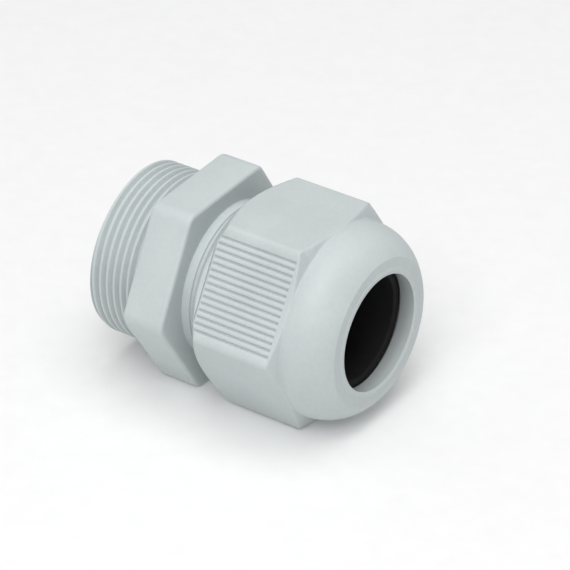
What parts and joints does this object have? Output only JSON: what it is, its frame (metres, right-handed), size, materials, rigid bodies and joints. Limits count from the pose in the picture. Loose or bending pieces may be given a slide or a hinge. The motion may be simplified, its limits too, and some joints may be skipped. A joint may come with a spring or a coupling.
{
  "type": "cable gland",
  "caption": "Plastic cable gland: threaded spigot with spanner hexagon, clamping fingers round a rubber sleeve, and a domed clamping nut with grip ribs.",
  "frame": {"origin": "on the gland's axis, in the plane of the seating face that meets the panel", "axes": "+X along the cable's way out of the mouth; +Z square to one flat of the dome nut; corners of the nut's hexagon on +Y and -Y; the body's hexagon is turned 2.5 degrees from the nut's"},
  "size_m": [0.0511, 0.0412, 0.0368],
  "materials": {
    "grey_polyamide": "moulded, satin, light grey",
    "black_rubber": "moulded, matt, black"
  },
  "bodies": {
    "gland_body": {"gland_body": "grey_polyamide"},
    "sealing_insert": {"sealing_insert": "black_rubber"},
    "dome_nut": {"dome_nut": "grey_polyamide"},
    "clamping_finger_01": {"clamping_finger_01": "grey_polyamide"},
    "clamping_finger_02": {"clamping_finger_02": "grey_polyamide"},
    "clamping_finger_03": {"clamping_finger_03": "grey_polyamide"},
    "clamping_finger_04": {"clamping_finger_04": "grey_polyamide"},
    "clamping_finger_05": {"clamping_finger_05": "grey_polyamide"},
    "clamping_finger_06": {"clamping_finger_06": "grey_polyamide"},
    "clamping_finger_07": {"clamping_finger_07": "grey_polyamide"},
    "clamping_finger_08": {"clamping_finger_08": "grey_polyamide"},
    "clamping_finger_09": {"clamping_finger_09": "grey_polyamide"},
    "clamping_finger_10": {"clamping_finger_10": "grey_polyamide"},
    "clamping_finger_11": {"clamping_finger_11": "grey_polyamide"},
    "clamping_finger_12": {"clamping_finger_12": "grey_polyamide"}
  },
  "joints": [
    {"name": "nut_travel", "type": "slide", "parent": "gland_body", "child": "sealing_insert", "axis": [1, 0, 0], "range_m": [-0.003, 0.003]},
    {"name": "nut_turn", "type": "hinge", "parent": "sealing_insert", "child": "dome_nut", "pos_m": [0.0214, 0, 0], "axis": [1, 0, 0], "range_deg": [-540, 540]},
    {"name": "finger_01_flex", "type": "hinge", "parent": "gland_body", "child": "clamping_finger_01", "pos_m": [0.02425, 0, 0.013], "axis": [0, -1, 0], "range_deg": [-4, 4]},
    {"name": "finger_02_flex", "type": "hinge", "parent": "gland_body", "child": "clamping_finger_02", "pos_m": [0.02425, -0.0065, 0.01126], "axis": [0, -0.866, -0.5], "range_deg": [-4, 4]},
    {"name": "finger_03_flex", "type": "hinge", "parent": "gland_body", "child": "clamping_finger_03", "pos_m": [0.02425, -0.01126, 0.0065], "axis": [0, -0.5, -0.866], "range_deg": [-4, 4]},
    {"name": "finger_04_flex", "type": "hinge", "parent": "gland_body", "child": "clamping_finger_04", "pos_m": [0.02425, -0.013, 0], "axis": [0, 0, -1], "range_deg": [-4, 4]},
    {"name": "finger_05_flex", "type": "hinge", "parent": "gland_body", "child": "clamping_finger_05", "pos_m": [0.02425, -0.01126, -0.0065], "axis": [0, 0.5, -0.866], "range_deg": [-4, 4]},
    {"name": "finger_06_flex", "type": "hinge", "parent": "gland_body", "child": "clamping_finger_06", "pos_m": [0.02425, -0.0065, -0.01126], "axis": [0, 0.866, -0.5], "range_deg": [-4, 4]},
    {"name": "finger_07_flex", "type": "hinge", "parent": "gland_body", "child": "clamping_finger_07", "pos_m": [0.02425, 0, -0.013], "axis": [0, 1, 0], "range_deg": [-4, 4]},
    {"name": "finger_08_flex", "type": "hinge", "parent": "gland_body", "child": "clamping_finger_08", "pos_m": [0.02425, 0.0065, -0.01126], "axis": [0, 0.866, 0.5], "range_deg": [-4, 4]},
    {"name": "finger_09_flex", "type": "hinge", "parent": "gland_body", "child": "clamping_finger_09", "pos_m": [0.02425, 0.01126, -0.0065], "axis": [0, 0.5, 0.866], "range_deg": [-4, 4]},
    {"name": "finger_10_flex", "type": "hinge", "parent": "gland_body", "child": "clamping_finger_10", "pos_m": [0.02425, 0.013, 0], "axis": [0, 0, 1], "range_deg": [-4, 4]},
    {"name": "finger_11_flex", "type": "hinge", "parent": "gland_body", "child": "clamping_finger_11", "pos_m": [0.02425, 0.01126, 0.0065], "axis": [0, -0.5, 0.866], "range_deg": [-4, 4]},
    {"name": "finger_12_flex", "type": "hinge", "parent": "gland_body", "child": "clamping_finger_12", "pos_m": [0.02425, 0.0065, 0.01126], "axis": [0, -0.866, 0.5], "range_deg": [-4, 4]}
  ],
  "couplings": [
    {"joint": "nut_travel", "follows": "nut_turn", "m_per_rad": 0.0003183},
    {"joint": "finger_01_flex", "follows": "nut_turn", "ratio": 0.0074074},
    {"joint": "finger_02_flex", "follows": "nut_turn", "ratio": 0.0074074},
    {"joint": "finger_03_flex", "follows": "nut_turn", "ratio": 0.0074074},
    {"joint": "finger_04_flex", "follows": "nut_turn", "ratio": 0.0074074},
    {"joint": "finger_05_flex", "follows": "nut_turn", "ratio": 0.0074074},
    {"joint": "finger_06_flex", "follows": "nut_turn", "ratio": 0.0074074},
    {"joint": "finger_07_flex", "follows": "nut_turn", "ratio": 0.0074074},
    {"joint": "finger_08_flex", "follows": "nut_turn", "ratio": 0.0074074},
    {"joint": "finger_09_flex", "follows": "nut_turn", "ratio": 0.0074074},
    {"joint": "finger_10_flex", "follows": "nut_turn", "ratio": 0.0074074},
    {"joint": "finger_11_flex", "follows": "nut_turn", "ratio": 0.0074074},
    {"joint": "finger_12_flex", "follows": "nut_turn", "ratio": 0.0074074}
  ]
}
